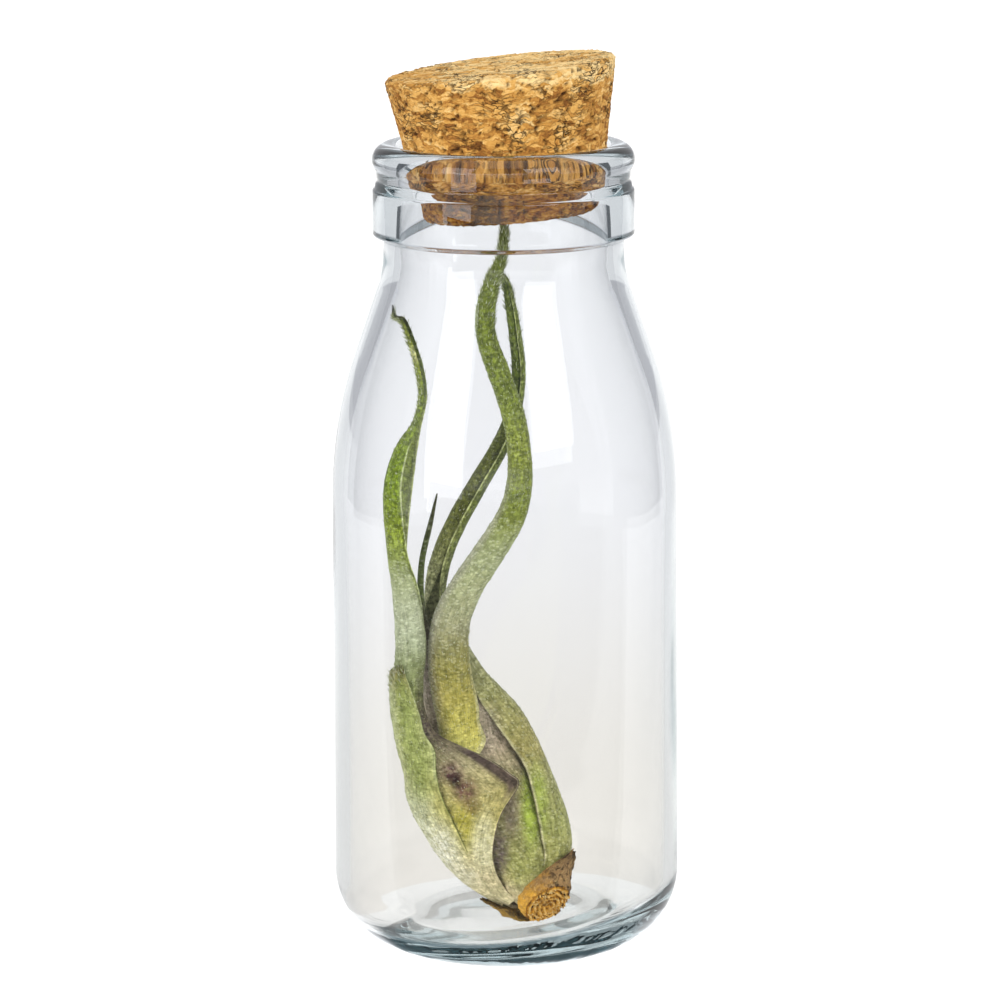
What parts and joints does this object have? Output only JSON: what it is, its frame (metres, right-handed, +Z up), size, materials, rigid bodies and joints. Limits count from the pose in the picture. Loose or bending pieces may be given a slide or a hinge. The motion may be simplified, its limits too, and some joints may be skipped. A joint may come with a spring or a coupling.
{
  "type": "air plant in corked bottle",
  "caption": "Small bulbous air plant with long winding leaves, leaning inside a clear glass bottle closed by a tapered cork stopper.",
  "frame": {"origin": "middle of the bottle's foot, on the surface that it stands on", "axes": "+Z up along the bottle, +X to the right and -Y to the front as the plant is seen in its usual view"},
  "size_m": [0.0566, 0.0566, 0.1466],
  "materials": {
    "clear_glass": "polished, pressed and blown",
    "cork": "agglomerated cork, matte, with dark specks",
    "dry_stem": "torn fibres, matte",
    "leaf_green": "green under silvery scales, matte",
    "leaf_dark": "deep green under silvery scales, matte",
    "leaf_olive": "yellow green under silvery scales, matte",
    "leaf_purple": "purplish olive, matte",
    "leaf_pale": "pale green under silvery scales, matte",
    "dry_scale": "dry papery leaf base, matte"
  },
  "bodies": {
    "root": {"glass_bottle": "clear_glass", "cork_stopper": "cork", "stem_stub": "dry_stem", "leaf_left": "leaf_green", "leaf_back": "leaf_dark", "leaf_main": "leaf_olive", "leaf_inner": "leaf_purple", "leaf_short": "leaf_pale", "dry_scale_right": "dry_scale", "dry_scale_left": "dry_scale"}
  },
  "joints": []
}
